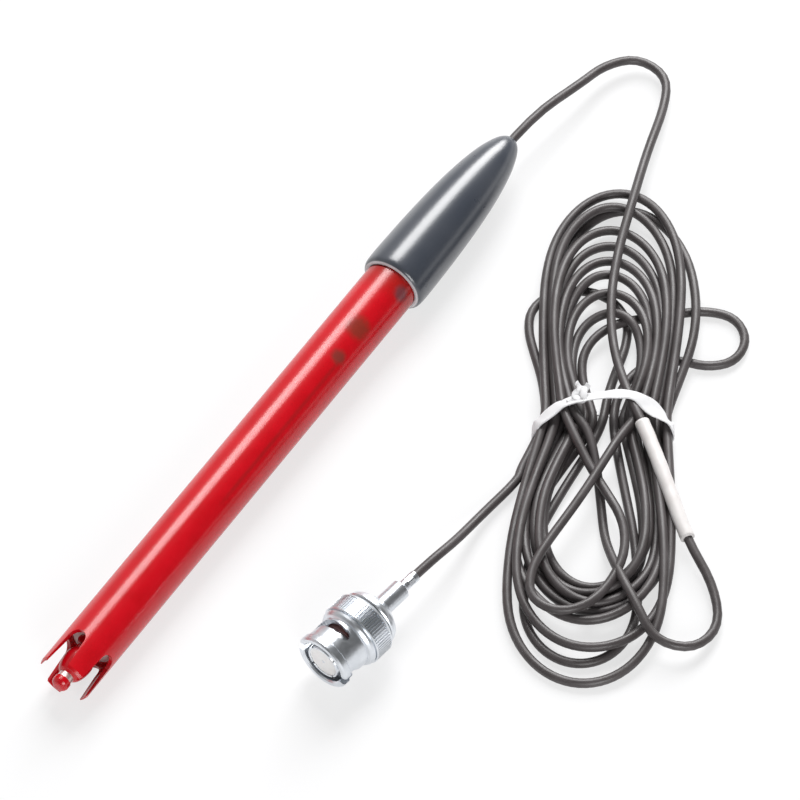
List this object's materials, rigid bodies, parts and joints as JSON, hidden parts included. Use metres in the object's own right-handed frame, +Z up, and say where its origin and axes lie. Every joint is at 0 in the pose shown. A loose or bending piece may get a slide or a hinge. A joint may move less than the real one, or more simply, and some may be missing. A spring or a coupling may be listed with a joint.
{
  "type": "redox electrode",
  "caption": "Combination redox electrode: slim plastic body with a slotted tip guard round a platinum band sensor, bullet-shaped cap, thin tied coaxial cable and bayonet plug.",
  "frame": {"origin": "on the floor, under the middle of the lying electrode, cable and plug not counted", "axes": "+X along the electrode from its sensing tip to its cap, +Z up from the floor it lies on, cable and plug on the -Y side"},
  "size_m": [0.2079, 0.1107, 0.015],
  "materials": {
    "red_plastic": "polished, slightly translucent",
    "slate_plastic": "polished",
    "platinum": "polished",
    "ceramic": "porous, matt",
    "glass": "clear",
    "silver": "drawn",
    "pellet": "rough coating",
    "gel": "clear gel",
    "potting": "cast resin",
    "seal_rubber": "moulded",
    "cable_jacket": "satin",
    "cable_core": "smooth",
    "copper": "tinned strands",
    "splice_metal": "pressed",
    "white_sleeve": "satin",
    "white_tie": "satin",
    "nickel": "nickel plated, polished",
    "white_insulator": "waxy",
    "gasket_rubber": "moulded",
    "spring_steel": "rolled"
  },
  "bodies": {
    "electrode": {"body_tube": "red_plastic", "sensor_stem": "red_plastic", "end_piece": "red_plastic", "platinum_band": "platinum", "stem_seal": "seal_rubber", "ceramic_junction": "ceramic", "inner_glass_tube": "glass", "platinum_lead": "platinum", "reference_wire": "silver", "reference_pellet": "pellet", "gel_electrolyte": "gel", "chamber_stopper": "potting", "cap": "slate_plastic", "cable_grip": "splice_metal", "core_in_cap": "cable_core", "screen_tail": "copper", "centre_splice": "splice_metal", "shield_splice": "splice_metal", "cable_lead": "cable_jacket", "marker_sleeve": "white_sleeve", "hank": "cable_jacket", "hank_tie": "white_tie", "cable_tail": "cable_jacket", "plug_body": "nickel", "plug_insulator": "white_insulator", "centre_pin": "nickel", "face_gasket": "gasket_rubber", "crimp_ferrule": "nickel", "core_in_plug": "cable_core"},
    "spring_stack": {"thrust_washer": "spring_steel", "wave_washer": "spring_steel"},
    "coupling": {"coupling_nut": "nickel", "retaining_ring": "spring_steel"}
  },
  "joints": [
    {"name": "nut_pull", "type": "slide", "parent": "electrode", "child": "spring_stack", "axis": [-0.9914, 0.1305, 0], "range_m": [0, 0.0009], "stiffness_N_per_m": 4000, "springref_m": -0.0005},
    {"name": "nut_spin", "type": "hinge", "parent": "spring_stack", "child": "coupling", "pos_m": [-0.04257, -0.04294, 0.0073], "axis": [0.9914, -0.1305, 0], "continuous": true}
  ]
}
